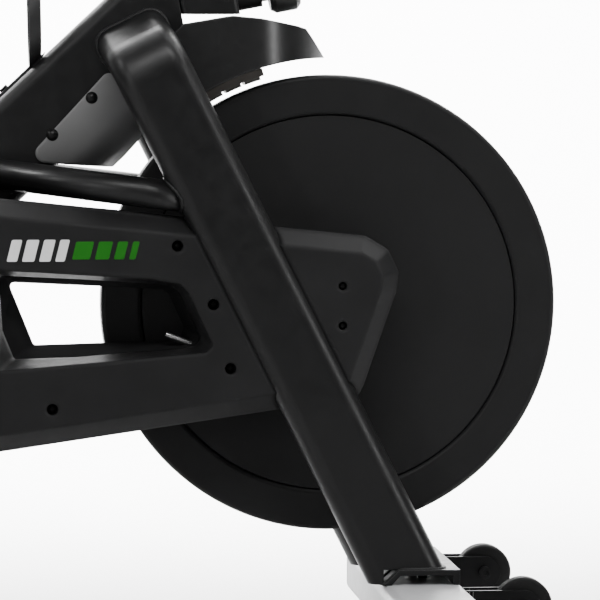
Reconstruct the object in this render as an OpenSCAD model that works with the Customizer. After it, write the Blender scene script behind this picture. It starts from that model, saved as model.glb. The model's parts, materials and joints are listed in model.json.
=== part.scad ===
// Indoor exercise bike with a belt-driven flywheel and a magnetic brake.
// +X is forward, +Y is the rider's left, +Z is up; the floor is Z = 0.
// Positions are written from the flywheel's axis plane (x = 0 there) and
// in_bike() then moves them so that the origin is under the bike's middle.

/* [Flywheel] */
// Radius of the flywheel
fly_r = 245; // [240:1:250]
// Width of the flywheel's rim
fly_w = 40; // [36:1:42]
// Radius of the flush side covers inside the rim
fly_cover_r = 201; // [190:1:205]
// Height of the flywheel's axis above the floor
axle_z = 360; // [358:1:364]
// Radius of the fixed axle
axle_r = 10; // [9:0.5:11]

/* [Frame] */
// Length of the bike behind the flywheel's axis
rear_reach = 892; // [880:1:900]
// Front leg tube, its depth seen from the side
leg_w = 80; // [74:1:84]
// Front leg tube, its thickness across the bike
leg_t = 40; // [36:1:42]
// Corner radius of a front leg tube
leg_corner = 18; // [12:1:18]
// Lean of the front legs from the vertical
leg_lean = 26.6; // [26:0.1:27]
// Distance from the middle plane to the centre of a front leg
leg_y = 95; // [94:1:97]
// Distance from the flywheel's axis back to a leg's centre line
leg_back = 61; // [60:0.5:62]
// Main beam, its depth seen from the side
beam_d = 94; // [90:1:98]
// Main beam, its width across the bike
beam_w = 60; // [58:1:62]
// Rise of the main beam from the horizontal
beam_rise = 43.2; // [43:0.1:43.4]
// Wall thickness of the big tubes
wall = 2.5; // [2:0.1:3]
// Radius of the round brace tubes
brace_r = 16; // [14:0.5:17]

/* [Feet] */
// Length of each stabilizer across the bike
stab_len = 520; // [480:10:560]
// Depth of a stabilizer, front to back
stab_d = 90; // [84:1:96]
// Height of a stabilizer's underside
stab_low = 15; // [14:1:18]
// Height of a stabilizer's top
stab_top = 65; // [62:1:65]
// Radius of a transport wheel
roller_r = 30.5; // [28:0.5:31]

/* [Drive] */
// Crank axis, distance behind the flywheel's axis
crank_x = -477; // [-480:1:-474]
// Crank axis, height above the floor
crank_z = 339; // [337:1:341]
// Running radius of the belt on the crank pulley
big_r = 100; // [96:1:104]
// Running radius of the belt on the flywheel's pulley
small_r = 36; // [34:1:38]
// Length of a crank arm between its centres
crank_len = 170; // [165:2.5:175]
// Distance from the middle plane to the inner face of a crank arm
crank_y = 120; // [118:1:124]
// Radial gap of the running fits
fit = 0.05; // [0.02:0.01:0.08]

/* [Covers] */
// Distance from the middle plane to the cover's flat outer face
cover_face = 108; // [106:1:110]
// Width of the cover's bevelled edge
bevel = 18; // [14:1:20]
// Wall thickness of the plastic covers
skin = 3; // [2.5:0.1:3.5]
// Half width of the brake shroud
shroud_y = 46; // [42:1:50]

/* [Posts] */
// Side of the square seat and handlebar posts
post = 50; // [46:1:50]
// Outer side of the square sleeves that hold the posts
sleeve = 62; // [62:1:66]
// Lean of the handlebar post from the vertical
head_lean = 11; // [10:0.5:12]
// Lean of the seat post from the vertical
seat_lean = 17; // [16:0.5:18]

/* [Hidden] */
$fn = 64;

far = 2000;                // side of a block that only cuts
gap = 0.3;                 // clearance between pieces that slide past each other
bike_x = (rear_reach - fly_r) / 2;

// main beam: a point on its top line, and its direction
beam_top_x = -294;
beam_top_z = 634.9;
beam_corner = 14;
// inner faces of the legs, and of the space between them
leg_in = leg_y - leg_t / 2;
leg_out = leg_y + leg_t / 2;
leg_bend_z = 302;          // start of the leg's top bend, along the leg
leg_bend_r = 32;
leg_bend = 70;
stub_step = 0.6;           // the stub above the bend is this much slimmer all round
// front foot
plate_top = 81;
plate_t = 6;
front_stab_x = 92;
stab_corner = 12;
rear_stab_x = -818;
roller_x = 191;
roller_z = 48;
roller_y = 168;
// posts: a point on each sleeve's centre line
head_x = -129;
head_z = 679;
seat_x = -505;
seat_z = 436.8;
inner_post = sleeve - 2 * 3;
seat_pin_z = 150;
pin_r = 7;
// brake
tension_s = 108;           // place of the tension rod along the beam
tension_rod_r = 5;
brake_pivot_a = 133;       // angle of the brake's pivot about the flywheel's axis
brake_pivot_r = 268;
brake_pin_r = 4;
// fasteners
base_bolt_r = 5;
foot_stud_r = 5;
foot_y = 215;
fork_x = front_stab_x + stab_d / 2 - 8;
cage_bolt_r = 2.5;
tension_bolt_r = 3.5;
// belt line and covers
belt_y = -53;
belt_w = 18;
cover_split = 73;
cover_back = 32;
cover_r = 148;             // big round end of the cover, about the crank axis
hub_open_r = 46;
window_end_r = 124;
shroud_gap_r = 263;        // shroud's lower edge, about the flywheel's axis
bearing_r = 21;
bearing_w = 12;

// ---------- helpers ----------
module in_bike() { translate([bike_x, 0, 0]) children(); }

module mirrored(left) {
    if (left) mirror([0, 1, 0]) children();
    else children();
}

// an outline drawn in X-Z, given thickness from y_far down to y_near
module side_slab(y_far, y_near) {
    translate([0, y_far, 0]) rotate([90, 0, 0]) linear_extrude(y_far - y_near) children();
}

module rounded_rect(w, h, r) {
    square([w - 2 * r, h], center = true);
    square([w, h - 2 * r], center = true);
    for (sx = [-1, 1], sy = [-1, 1])
        translate([sx * (w / 2 - r), sy * (h / 2 - r)]) circle(r);
}

module box_tube(w, h, r, t, len) {
    linear_extrude(len) difference() {
        rounded_rect(w, h, r);
        rounded_rect(w - 2 * t, h - 2 * t, max(r - t, 1));
    }
}

// round bar between two points
module bar(a, b, r) {
    d = b - a;
    len = norm(d);
    translate(a) rotate([0, acos(d[2] / len), atan2(d[1], d[0])]) cylinder(h = len, r = r);
}

// cylinder across the bike, centred on y, at x, z
module cross_cyl(x, y, z, r, w) {
    translate([x, y + w / 2, z]) rotate([90, 0, 0]) cylinder(h = w, r = r);
}

module beam_frame() {
    translate([beam_top_x, 0, beam_top_z]) rotate([0, 90 - beam_rise, 0])
        translate([beam_d / 2, 0, 0]) children();
}

module leg_frame() {
    translate([0, 0, axle_z]) rotate([0, -leg_lean, 0]) translate([-leg_back, 0, 0]) children();
}

module head_frame() { translate([head_x, 0, head_z]) rotate([0, -head_lean, 0]) children(); }
module seat_frame() { translate([seat_x, 0, seat_z]) rotate([0, -seat_lean, 0]) children(); }

// everything below a height
module below(z) { translate([-far / 2, -far / 2, z - far]) cube(far); }

// ---------- frame ----------
module beam_solid(t) {
    beam_frame() translate([0, 0, -800])
        linear_extrude(1100) rounded_rect(beam_d - 2 * t, beam_w - 2 * t, beam_corner - t);
}

module head_block(grow) {
    head_frame() translate([0, 0, 60])
        cube([sleeve + 2 * grow, sleeve + 2 * grow, 300], center = true);
}

// in front of the head sleeve's rear face
module ahead_of_head() {
    head_frame() translate([-sleeve / 2, -far / 2, -far / 2]) cube(far);
}

module main_beam() {
    color([0.12, 0.12, 0.125]) in_bike() difference() {
        beam_solid(0);
        beam_solid(3);
        below(stab_top + plate_t);
        ahead_of_head();
        cross_cyl(crank_x, 0, crank_z, 26, 100);
        tension_axis(tension_rod_r + fit);
        cage_bolts(cage_bolt_r);
    }
    color([0.12, 0.12, 0.125]) in_bike() difference() {
        cross_cyl(crank_x, 0, crank_z, 26, 68);
        cross_cyl(crank_x, 0, crank_z, bearing_r, 80);
    }
}

module leg_section(t) { rounded_rect(leg_w - 2 * t, leg_t - 2 * t, leg_corner - t); }

// straight leg, inward bend and short top stub, for the right side
module leg_solid(t) {
    leg_frame() translate([0, -leg_y, 0]) {
        translate([0, 0, -330]) linear_extrude(330 + leg_bend_z) leg_section(t);
        translate([0, leg_bend_r, leg_bend_z]) rotate([90, 0, -90])
            rotate_extrude(angle = leg_bend)
                translate([leg_bend_r, 0]) rotate(90) leg_section(t);
        translate([0, leg_bend_r, leg_bend_z]) rotate([-leg_bend, 0, 0])
            translate([0, -leg_bend_r, -3]) linear_extrude(90) leg_section(t + stub_step);
    }
}

module axle_tab() {
    leg_frame() side_slab(-leg_in - 5, -leg_in - 13) difference() {
        union() {
            translate([30, -28]) square([leg_back - 30, 56]);
            translate([leg_back, 0]) circle(28);
        }
        translate([leg_back, 0]) circle(axle_r);
    }
}

module front_leg(left) {
    color([0.11, 0.11, 0.115]) in_bike() mirrored(left) difference() {
        union() {
            difference() {
                leg_solid(0);
                leg_solid(wall);
            }
            difference() {
                axle_tab();
                leg_solid(wall);
            }
        }
        below(stab_top);
        translate([50, -far / 2, stab_top - 1]) cube([far, far, plate_top - stab_top + 1]);
        translate([-far / 2, -beam_w / 2, 0]) cube(far);
    }
}

module brace_path(r) {
    lap = r * 0.15;
    bar([-150, -leg_y, 468], [-226 - lap, -88, 482], r);
    bar([-226 + lap, -88, 482], [-400, -24, 505.4], r);
}

module brace_tube(left) {
    color([0.13, 0.13, 0.135]) in_bike() mirrored(left) difference() {
        brace_path(brace_r);
        brace_path(brace_r - 2);
        leg_solid(0);
        translate([-far / 2, -beam_w / 2, 0]) cube(far);
    }
}

module head_sleeve() {
    color([0.12, 0.12, 0.125]) in_bike() difference() {
        union() {
            head_frame() translate([0, 0, -40]) box_tube(sleeve, sleeve, 6, 3, 205);
            head_frame() pin_boss();
        }
        below(670);
        head_frame() pin_shaft(fit);
    }
}

module seat_sleeve() {
    color([0.12, 0.12, 0.125]) in_bike() difference() {
        union() {
            seat_frame() translate([0, 0, -60]) box_tube(sleeve, sleeve, 6, 3, 290);
            seat_frame() translate([0, 0, seat_pin_z]) pin_boss();
        }
        beam_frame() translate([-beam_d / 2, -far / 2, -far / 2]) cube(far);
        seat_frame() translate([0, 0, seat_pin_z]) pin_shaft(fit);
    }
}

module bushing() {
    linear_extrude(60) difference() {
        rounded_rect(inner_post, inner_post, 3);
        square(post + 2 * gap, center = true);
    }
    translate([0, 0, 60]) linear_extrude(4) difference() {
        square(sleeve, center = true);
        square(post + 2 * gap, center = true);
    }
}

module sleeve_bushings() {
    color([0.05, 0.05, 0.05]) in_bike() {
        head_frame() translate([0, 0, 105]) bushing();
        seat_frame() translate([0, 0, 170]) bushing();
    }
}

module bearing(x, y, z) {
    difference() {
        cross_cyl(x, y, z, bearing_r, bearing_w);
        cross_cyl(x, y, z, axle_r + fit, bearing_w + 2);
    }
}

module bb_bearings() {
    color([0.7, 0.7, 0.72]) in_bike() for (side = [-1, 1]) bearing(crank_x, side * 27, crank_z);
}

// axle with a hex nut on each side of both tabs
module flywheel_axle() {
    color([0.65, 0.65, 0.67]) in_bike() {
        cross_cyl(0, 0, axle_z, axle_r, 206);
        for (side = [-1, 1], y = [leg_in + 1, leg_in + 17])
            translate([0, side * y, axle_z]) rotate([90, 0, 0])
                cylinder(h = 8, r = 16, center = true, $fn = 6);
    }
}

// plates between the tubes and the stabilizers, the front one bent down at its rear
module base_plates() {
    color([0.13, 0.13, 0.135]) in_bike() difference() {
        union() {
            side_slab(120, -120) {
                translate([67, plate_top - plate_t]) square([64, plate_t]);
                polygon([[67, plate_top], [67, plate_top - plate_t], [58, stab_top], [50, stab_top]]);
                translate([124, stab_top]) square([7, plate_top - stab_top]);
            }
            translate([rear_stab_x, 0, stab_top]) linear_extrude(plate_t)
                rounded_rect(2 * (rear_reach + rear_stab_x), 100, 8);
        }
        base_shanks();
    }
}

module stabilizer(x) {
    translate([x, stab_len / 2, (stab_low + stab_top) / 2]) rotate([90, 0, 0])
        box_tube(stab_d, stab_top - stab_low, stab_corner, wall, stab_len);
}

// fork plates welded to the front stabilizer, one each side of a wheel
module roller_fork(y) {
    for (side = [-1, 1])
        side_slab(y + side * 15 + 2, y + side * 15 - 2) difference() {
            union() {
                translate([fork_x, 30]) square([roller_x - fork_x, 36]);
                translate([roller_x, 48]) circle(18);
            }
            translate([roller_x, roller_z]) circle(6);
        }
    cross_cyl(roller_x, y, roller_z, 6, 34);
    for (side = [-1, 1])
        translate([roller_x, y + side * 17, roller_z]) rotate([side * -90, 0, 0]) difference() {
            cylinder(h = 5, r = 7);
            translate([0, 0, 2.5]) cylinder(h = 3, r = 3.5, $fn = 6);
        }
}

module front_stabilizer() {
    color([0.72, 0.72, 0.72]) in_bike() difference() {
        stabilizer(front_stab_x);
        base_shanks();
        foot_studs(front_stab_x, foot_stud_r);
    }
}

module rear_stabilizer() {
    color([0.72, 0.72, 0.72]) in_bike() difference() {
        stabilizer(rear_stab_x);
        base_shanks();
        foot_studs(rear_stab_x, foot_stud_r + fit);
    }
}

module wheel_brackets() {
    color([0.08, 0.08, 0.08]) in_bike() difference() {
        for (side = [-1, 1]) roller_fork(side * roller_y);
        translate([front_stab_x - stab_d / 2, -stab_len / 2, stab_low])
            cube([stab_d, stab_len, stab_top - stab_low]);
    }
}

module stabilizer_caps() {
    color([0.06, 0.06, 0.06]) in_bike()
        for (x = [front_stab_x, rear_stab_x], side = [-1, 1])
            translate([x, side * (stab_len / 2 + 3), (stab_low + stab_top) / 2])
                rotate([90, 0, 0]) linear_extrude(6, center = true)
                    rounded_rect(stab_d, stab_top - stab_low, stab_corner);
}

// ---------- feet and fasteners ----------
module foot_studs(x, r) {
    for (side = [-1, 1]) translate([x, side * foot_y, 4]) cylinder(h = 22, r = r);
}

module foot(x, y) {
    translate([x, y, 0]) {
        cylinder(h = 7, r = 22);
        translate([0, 0, 7]) cylinder(h = 4, r1 = 22, r2 = 12);
        translate([0, 0, 11]) cylinder(h = 12, r = foot_stud_r);
    }
}

module front_feet() {
    color([0.05, 0.05, 0.05]) in_bike() for (side = [-1, 1]) foot(front_stab_x, side * foot_y);
}

module rear_foot(side) { color([0.05, 0.05, 0.05]) in_bike() foot(rear_stab_x, side * foot_y); }

function base_bolt_spots() = [
    [99, -45, plate_top], [99, 45, plate_top],
    [rear_stab_x - 45, -41, stab_top + plate_t], [rear_stab_x + 45, -41, stab_top + plate_t],
    [rear_stab_x - 45, 41, stab_top + plate_t], [rear_stab_x + 45, 41, stab_top + plate_t]
];

module base_shanks() {
    for (p = base_bolt_spots()) translate([p[0], p[1], p[2] - 30]) cylinder(h = 30, r = base_bolt_r);
}

function fairing_bolt_spots() = [[-255, 580.5], [-297, 541]];

// domed head whose flat side is at z = 0
module dome_head(r, h) {
    big = (r * r + h * h) / (2 * h);
    difference() {
        translate([0, 0, h - big]) sphere(big);
        below(0);
    }
}

module frame_bolts() {
    color([0.06, 0.06, 0.06]) in_bike() {
        base_shanks();
        for (p = base_bolt_spots()) translate(p) cylinder(h = 6, r = 9, $fn = 6);
        for (p = fairing_bolt_spots(), side = [-1, 1])
            translate([p[0], side * (beam_w / 2 + skin), p[1]]) rotate([side * -90, 0, 0]) dome_head(6.5, 4);
        cage_bolts(cage_bolt_r);
        brake_pivot_at() cross_cyl(0, 0, 0, brake_pin_r, 2 * shroud_y + 4);
        for (side = [-1, 1])
            brake_pivot_at() translate([0, side * (shroud_y + 2), 0])
                rotate([side * -90, 0, 0]) dome_head(7, 4);
    }
}

// ---------- covers ----------
module cover_outline() {
    offset(r = 8) offset(delta = -8) union() {
        translate([crank_x, crank_z]) circle(cover_r);
        polygon([
            [-477, 487], [-333, 471], [-228, 461], [-150, 453.5], [-55, 443], [33, 434.5],
            [57, 420], [68.5, 396], [65.5, 375], [31, 276], [24, 262], [-64, 262], [-121, 260],
            [-172, 255], [-216, 246], [-338, 216], [-440, 196], [-477, 300]
        ]);
    }
}

module window_front() {
    offset(r = 5) offset(delta = -5) difference() {
        polygon([
            [-400, 403], [-339, 399], [-197, 390.5], [-165, 385], [-155, 374], [-130, 319],
            [-138, 312], [-189, 307.5], [-312, 303], [-339, 297], [-400, 284]
        ]);
        translate([crank_x, crank_z]) circle(window_end_r);
    }
}

module window_back() {
    offset(r = 4) offset(delta = -4)
        polygon([
            [-344, 384], [-248, 378.5], [-180, 376], [-172, 370], [-172, 356], [-157, 336],
            [-161, 325], [-175, 321], [-245, 321], [-317, 317]
        ]);
}

// tapered well through the covers, grown by a wall thickness
module window_well(grow) {
    hull() {
        side_slab(-cover_face + 0.01, -cover_face - 1) offset(delta = grow) window_front();
        side_slab(-cover_back + 1, -cover_back - skin) offset(delta = grow) window_back();
    }
}

// bevelled plastic body, t in from the outside
module cover_body(t) {
    hull() {
        side_slab(-cover_split + (t > 0 ? 1 : 0), -cover_face + bevel) offset(delta = -t) cover_outline();
        side_slab(-cover_face + bevel, -cover_face + t) offset(delta = -bevel - t / 2) cover_outline();
    }
}

function cover_screw_spots() = [
    [-168, 425], [-130, 363], [-112, 295], [-300, 253], [-477, 460], [-590, 339], [-477, 218]
];

function cap_screw_spots() = [[7, 382], [7, 340]];

// recessed cup for a cover screw
module screw_cup(p, r, floor_y) {
    translate([p[0], -floor_y, p[1]]) rotate([90, 0, 0]) cylinder(h = cover_face + 2 - floor_y, r = r);
}

module belt_cover_outer() {
    color([0.10, 0.10, 0.105]) in_bike() difference() {
        union() {
            difference() {
                cover_body(0);
                cover_body(skin);
            }
            intersection() {
                cover_body(0);
                union() {
                    window_well(skin);
                    for (p = cover_screw_spots()) screw_cup(p, 9, cover_face - 14);
                }
            }
        }
        window_well(0);
        for (p = cover_screw_spots()) screw_cup(p, 6, cover_face - 11);
        leg_frame() translate([-leg_w / 2 + 4, -far / 2, -far / 2]) cube(far);
        leg_solid(0);
        bar([-150, -leg_y, 468], [-226, -88, 482], brace_r + gap);
        cross_cyl(crank_x, -cover_face, crank_z, 30, 20);
    }
}

module belt_cover_front_cap() {
    color([0.10, 0.10, 0.105]) in_bike() difference() {
        union() {
            difference() {
                cover_body(0);
                cover_body(skin);
            }
            intersection() {
                cover_body(0);
                for (p = cap_screw_spots()) screw_cup(p, 7, cover_face - 8);
            }
        }
        for (p = cap_screw_spots()) screw_cup(p, 4.5, cover_face - 5);
        leg_frame() translate([leg_w / 2 - 4 - far, -far / 2, -far / 2]) cube(far);
        leg_solid(0);
    }
}

module belt_cover_inner() {
    color([0.14, 0.14, 0.145]) in_bike() difference() {
        union() {
            side_slab(-cover_back, -cover_split) difference() {
                cover_outline();
                offset(delta = -skin) cover_outline();
            }
            side_slab(-cover_back, -cover_back - skin) cover_outline();
            intersection() {
                side_slab(-cover_back, -cover_split) cover_outline();
                window_well(skin);
            }
        }
        window_well(0);
        tension_bolt_at(tension_bolt_r);
        cross_cyl(0, -cover_back, axle_z, hub_open_r, 12);
        cross_cyl(crank_x, -cover_back, crank_z, 26, 12);
    }
}

module screw(p, y, r) {
    translate([p[0], -y, p[1]]) rotate([90, 0, 0]) difference() {
        dome_head(r, r * 0.55);
        translate([0, 0, r * 0.3]) linear_extrude(r) {
            square([r * 1.1, r * 0.25], center = true);
            square([r * 0.25, r * 1.1], center = true);
        }
    }
}

module cover_screws() {
    color([0.05, 0.05, 0.05]) in_bike() {
        for (p = cover_screw_spots()) screw(p, cover_face - 11, 5);
        for (p = cap_screw_spots()) screw(p, cover_face - 5, 4);
    }
}

module tension_bolt_at(r) { bar([-178, -62, 329], [-124, -62, 309], r); }

module belt_tension_bolt() {
    color([0.75, 0.75, 0.77]) in_bike() tension_bolt_at(tension_bolt_r);
}

module belt_loop(grow) {
    hull() {
        translate([0, axle_z]) circle(small_r + grow);
        translate([crank_x, crank_z]) circle(big_r + grow);
    }
}

module drive_belt() {
    color([0.05, 0.05, 0.05]) in_bike() side_slab(belt_y + belt_w / 2, belt_y - belt_w / 2)
        difference() {
            belt_loop(3.3);
            belt_loop(gap);
        }
}

// U-shaped fairing under the beam
module keel(t) {
    half = beam_w / 2 + skin - t;
    arc_r = 40.7 - t;
    translate([-20, -half]) square([70, 2 * half]);
    intersection() {
        translate([50, 7.7]) circle(arc_r);
        translate([50, -7.7]) circle(arc_r);
        translate([49, -half]) square([60, 2 * half]);
    }
}

module belly_fairing() {
    color([0.30, 0.30, 0.30]) in_bike() difference() {
        intersection() {
            beam_frame() translate([0, 0, -130]) linear_extrude(330) difference() {
                keel(0);
                keel(skin);
            }
            side_slab(60, -60) offset(r = 10) offset(delta = -10)
                polygon([
                    [-239, 608], [-227, 605], [-199, 540], [-229, 506], [-284, 509.5], [-326, 513.5]
                ]);
        }
        beam_solid(0);
        leg_solid(0);
        mirrored(true) leg_solid(0);
    }
}

// ---------- magnetic brake ----------
module shroud_side(t) {
    offset(delta = -t) polygon([
        [4, 612], [-17, 643], [-25, 654], [-34.5, 657], [-74, 665], [-105, 668], [-158, 659],
        [-214, 601], [-204, 560], [-160, 480], [-40, 480], [4, 560]
    ]);
}

module shroud_plan(t) {
    nose_r = 81 - t;
    translate([-260, -shroud_y + t]) square([186, 2 * (shroud_y - t)]);
    intersection() {
        translate([-75, 81 - shroud_y]) circle(nose_r);
        translate([-75, shroud_y - 81]) circle(nose_r);
        translate([-75, -shroud_y]) square([120, 2 * shroud_y]);
    }
}

module shroud_form(t) {
    intersection() {
        side_slab(shroud_y, -shroud_y) shroud_side(t);
        translate([0, 0, 400]) linear_extrude(400) shroud_plan(t);
    }
}

module brake_shroud() {
    color([0.13, 0.13, 0.135]) in_bike() difference() {
        shroud_form(0);
        shroud_form(skin);
        cross_cyl(0, 0, axle_z, shroud_gap_r, 300);
        beam_solid(0);
        head_block(0);
        leg_solid(0);
        mirrored(true) leg_solid(0);
        tension_axis(tension_rod_r + 2);
        brake_pivot_at() cross_cyl(0, 0, 0, brake_pin_r, 200);
        ahead_hole();
    }
}

// way in for the pull pin's boss
module ahead_hole() { head_frame() rotate([0, 90, 0]) cylinder(h = 80, r = 13); }

module brake_pivot_at() {
    translate([brake_pivot_r * cos(brake_pivot_a), 0, axle_z + brake_pivot_r * sin(brake_pivot_a)])
        children();
}

module rim_arc(r1, r2, a1, a2, w) {
    translate([0, 0, axle_z]) rotate([90, 0, 0]) rotate([0, 0, a1])
        rotate_extrude(angle = a2 - a1) translate([r1, -w / 2]) square([r2 - r1, w]);
}

module brake_bracket() {
    color([0.38, 0.36, 0.34]) in_bike() difference() {
        union() {
            rim_arc(254, 262, 106, 133, 48);
            brake_pivot_at() cross_cyl(0, 0, 0, 9, 54);
        }
        brake_pivot_at() cross_cyl(0, 0, 0, brake_pin_r + fit, 60);
    }
}

module brake_magnets() {
    color([0.45, 0.44, 0.43]) in_bike()
        for (i = [0:3]) rim_arc(250.5, 254, 107 + i * 5, 111 + i * 5, 44);
}

module tension_axis(r) {
    beam_frame() translate([-beam_d / 2 - 10, 0, tension_s]) rotate([0, 90, 0])
        cylinder(h = 158.5, r = r);
}

module tension_knob() {
    color([0.06, 0.06, 0.06]) in_bike() {
        tension_axis(tension_rod_r);
        beam_frame() translate([-beam_d / 2 - 8, 0, tension_s]) rotate([0, -90, 0]) {
            cylinder(h = 12, r = 12);
            translate([0, 0, 12]) linear_extrude(26) difference() {
                circle(24);
                for (i = [0:5]) rotate(i * 60) translate([30, 0]) circle(9);
            }
            translate([0, 0, 38]) cylinder(h = 4, r1 = 20, r2 = 16);
        }
    }
}

// ---------- bottle cage ----------
cage_r = 37;
cage_t = 3;

// middle of the bottle, above the beam's top
module cage_frame() { beam_frame() translate([-beam_d / 2 - cage_r - 2.6, 0, 0]) children(); }

module cage_band(s, tilt) {
    cage_frame() intersection() {
        difference() {
            translate([0, 0, -220]) cylinder(h = 340, r = cage_r + 2.4);
            translate([0, 0, -221]) cylinder(h = 342, r = cage_r);
        }
        translate([0, 0, s]) rotate([0, tilt, 0]) cube([200, 200, 13], center = true);
    }
}

module cage_bolts(r) {
    for (s = [-70, -130])
        beam_frame() translate([-beam_d / 2 - cage_t - 3, 0, s]) rotate([0, 90, 0]) {
            cylinder(h = 16, r = r);
            if (r == cage_bolt_r) cylinder(h = 3, r = 5);
        }
}

module bottle_cage() {
    color([0.04, 0.04, 0.04]) in_bike() difference() {
        union() {
            cage_band(8, 42);
            cage_band(-115, 0);
            beam_frame() translate([-beam_d / 2 - cage_t, -11, -164]) cube([cage_t, 22, 144]);
            cage_frame() intersection() {
                translate([0, 0, -166]) cylinder(h = 3, r = cage_r + 2.4);
                translate([-12, -50, -170]) cube([60, 100, 10]);
            }
            beam_frame() translate([-beam_d / 2 - 13, 0, -18]) rotate([90, 0, 0]) rotate([0, 0, -20])
                rotate_extrude(angle = 180) translate([11, 0]) circle(2);
        }
        cage_bolts(cage_bolt_r);
        cage_frame() translate([0, 0, -163]) cylinder(h = 300, r = cage_r);
    }
}

// ---------- flywheel ----------
module on_axle() { translate([0, 0, axle_z]) rotate([-90, 0, 0]) children(); }

module flywheel_disc() {
    rim_in = fly_cover_r + 1;
    color([0.13, 0.13, 0.135]) in_bike() on_axle() rotate_extrude($fn = 128) {
        translate([(rim_in + fly_r) / 2, 0]) rounded_rect(fly_r - rim_in, fly_w, 5);
        translate([28, -2.5]) square([rim_in - 27, 5]);
    }
}

module flywheel_covers() {
    color([0.12, 0.12, 0.125]) in_bike() on_axle() for (side = [0, 1]) mirror([0, 0, side])
        rotate_extrude($fn = 128) {
            translate([52, fly_w / 2 - 5.5]) square([fly_cover_r - 52, 3]);
            translate([fly_cover_r - 3, 2.5]) square([3, fly_w / 2 - 5]);
            translate([52, 2.5]) square([3, fly_w / 2 - 5]);
        }
}

module hub_pulley() {
    color([0.55, 0.55, 0.57]) in_bike() on_axle() difference() {
        union() {
            translate([0, 0, -64]) cylinder(h = 94, r = 28);
            translate([0, 0, belt_y - belt_w / 2]) cylinder(h = belt_w, r = small_r);
            for (y = [belt_y - belt_w / 2 - 2, belt_y + belt_w / 2])
                translate([0, 0, y]) cylinder(h = 2, r = small_r + 5);
            translate([0, 0, 2.5]) cylinder(h = 6, r = 50);
            for (i = [0:4]) rotate(i * 72) translate([40, 0, 8]) cylinder(h = 5, r = 6, $fn = 6);
        }
        translate([0, 0, -70]) cylinder(h = 120, r = 16);
        translate([0, 0, -65]) cylinder(h = 14, r = bearing_r);
        translate([0, 0, 17]) cylinder(h = 14, r = bearing_r);
    }
}

module hub_bearings() {
    color([0.7, 0.7, 0.72]) in_bike() {
        bearing(0, -57, axle_z);
        bearing(0, 23, axle_z);
    }
}

// ---------- cranks and pedals ----------
module crank_spindle() {
    color([0.6, 0.6, 0.62]) in_bike() {
        cross_cyl(crank_x, 0, crank_z, axle_r, 2 * (crank_y + 18));
        for (side = [-1, 1]) cross_cyl(crank_x, side * (crank_y + 20), crank_z, 12, 4);
    }
}

module crank_pulley() {
    color([0.20, 0.20, 0.20]) in_bike() translate([crank_x, 0, crank_z]) rotate([-90, 0, 0])
        difference() {
            union() {
                translate([0, 0, belt_y - belt_w / 2]) difference() {
                    cylinder(h = belt_w, r = big_r);
                    translate([0, 0, -1]) cylinder(h = belt_w + 2, r = big_r - 10);
                }
                for (y = [belt_y - belt_w / 2 - 2, belt_y + belt_w / 2])
                    translate([0, 0, y]) difference() {
                        cylinder(h = 2, r = big_r + 5);
                        translate([0, 0, -1]) cylinder(h = 4, r = big_r - 10);
                    }
                translate([0, 0, belt_y - 3]) cylinder(h = 6, r = big_r - 9);
                translate([0, 0, belt_y - 15]) cylinder(h = 30, r = 22);
            }
            translate([0, 0, -100]) cylinder(h = 100, r = axle_r);
            for (i = [0:4]) rotate(i * 72) translate([56, 0, belt_y - 5]) cylinder(h = 10, r = 20);
        }
}

// arm from the crank axis towards the pedal: dir -1 hangs down, +1 stands up
module crank_arm(left, dir) {
    color([0.10, 0.10, 0.10]) in_bike() mirrored(left) translate([crank_x, 0, crank_z])
        side_slab(-crank_y, -crank_y - 16) rotate(dir > 0 ? 0 : 180) difference() {
            union() {
                circle(22);
                translate([0, crank_len]) circle(15);
                polygon([[-19, 0], [19, 0], [13, crank_len], [-13, crank_len]]);
            }
            circle(axle_r);
            translate([0, crank_len]) circle(8);
        }
}

module pedal_axles() {
    color([0.62, 0.62, 0.64]) in_bike() for (side = [-1, 1])
        translate([crank_x, 0, crank_z + side * crank_len]) {
            cross_cyl(0, side * (crank_y + 8), 0, 8, 16);
            cross_cyl(0, side * (crank_y + 64), 0, 6, 98);
        }
}

module pedal_place(left) {
    in_bike() mirrored(left)
        translate([crank_x, -crank_y - 65, crank_z + (left ? crank_len : -crank_len)]) children();
}

module pedal(left) {
    color([0.08, 0.08, 0.08]) pedal_place(left) difference() {
        union() {
            cross_cyl(0, 0, 0, 13, 86);
            translate([0, 0, -9]) linear_extrude(18) difference() {
                rounded_rect(98, 92, 12);
                for (side = [-1, 1]) translate([side * 26, 0]) square([26, 66], center = true);
            }
        }
        cross_cyl(0, 0, 0, 6 + fit, 200);
    }
}

module toe_cage(left) {
    color([0.05, 0.05, 0.05]) pedal_place(left) {
        translate([0, 26, 0]) rotate([90, 0, 0]) linear_extrude(52) difference() {
            translate([46, 31]) circle(40);
            translate([46, 31]) circle(37);
            translate([-60, -20]) square([106, 60]);
            translate([40, -20]) square([9, 29]);
            translate([-60, 20]) square([85, 70]);
        }
        translate([-6, 0, 9]) rotate([0, 90, 0]) linear_extrude(15) difference() {
            translate([-62, -46]) square([62, 92]);
            translate([-59.5, -43.5]) square([60, 87]);
        }
        translate([8, -6, 68.5]) cube([24, 12, 2.5]);
    }
}

// ---------- seat ----------
seat_post_top = 430;
seat_head_x = seat_x - seat_post_top * sin(seat_lean);
seat_head_z = seat_z + seat_post_top * cos(seat_lean);
tee_h = 44;
tee_w = 54;
tee_t = 3;
slide_gap = 0.3;
rail_r = 3.5;
saddle_x = seat_head_x - 71;
saddle_z = seat_head_z + tee_h + 55;

// level tube along X from x1 to x2 with its underside at z
module level_tube(x1, x2, z, w, h, t) {
    translate([x1, 0, z + h / 2]) rotate([0, 90, 0]) box_tube(h, w, 4, t, x2 - x1);
}

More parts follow.
